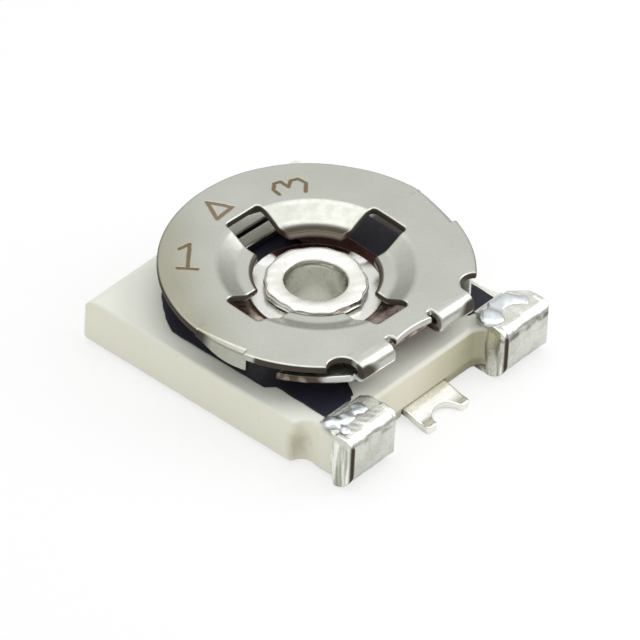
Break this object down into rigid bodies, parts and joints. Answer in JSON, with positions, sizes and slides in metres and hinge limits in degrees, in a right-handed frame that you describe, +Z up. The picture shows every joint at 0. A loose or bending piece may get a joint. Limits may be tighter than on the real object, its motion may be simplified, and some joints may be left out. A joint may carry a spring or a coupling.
{
  "type": "trimmer potentiometer",
  "caption": "Small open-frame surface-mount trimmer: a slotted metal rotor turning over a printed track on a ceramic plate, with strap terminals.",
  "frame": {"origin": "the rotor's axis in the plane of the solder pads", "axes": "+Z up along the rotor's axis, terminals 1 and 3 and the forked tab of terminal 2 towards -Y, terminal 3 on +X"},
  "size_m": [0.003, 0.0034, 0.001],
  "materials": {
    "ceramic": "unglazed off-white alumina ceramic",
    "track": "blue-black printed resistive film",
    "silver_film": "matte printed silver",
    "tinned_strap": "tin-plated strap with fine marks",
    "tin": "bright lumpy tin",
    "bright_metal": "bright plated sheet, drawn and rolled",
    "rotor_sheet": "satin plated spring sheet"
  },
  "bodies": {
    "base": {"ceramic_base": "ceramic", "resistive_track": "track", "electrode_1": "silver_film", "electrode_3": "silver_film", "terminal_1": "tinned_strap", "terminal_3": "tinned_strap", "solder_1": "tin", "solder_3": "tin", "center_terminal": "bright_metal"},
    "rotor": {"rotor": "rotor_sheet"}
  },
  "joints": [
    {"name": "rotor_turn", "type": "hinge", "parent": "base", "child": "rotor", "pos_m": [0, 0, 0], "axis": [0, 0, 1], "continuous": true}
  ]
}
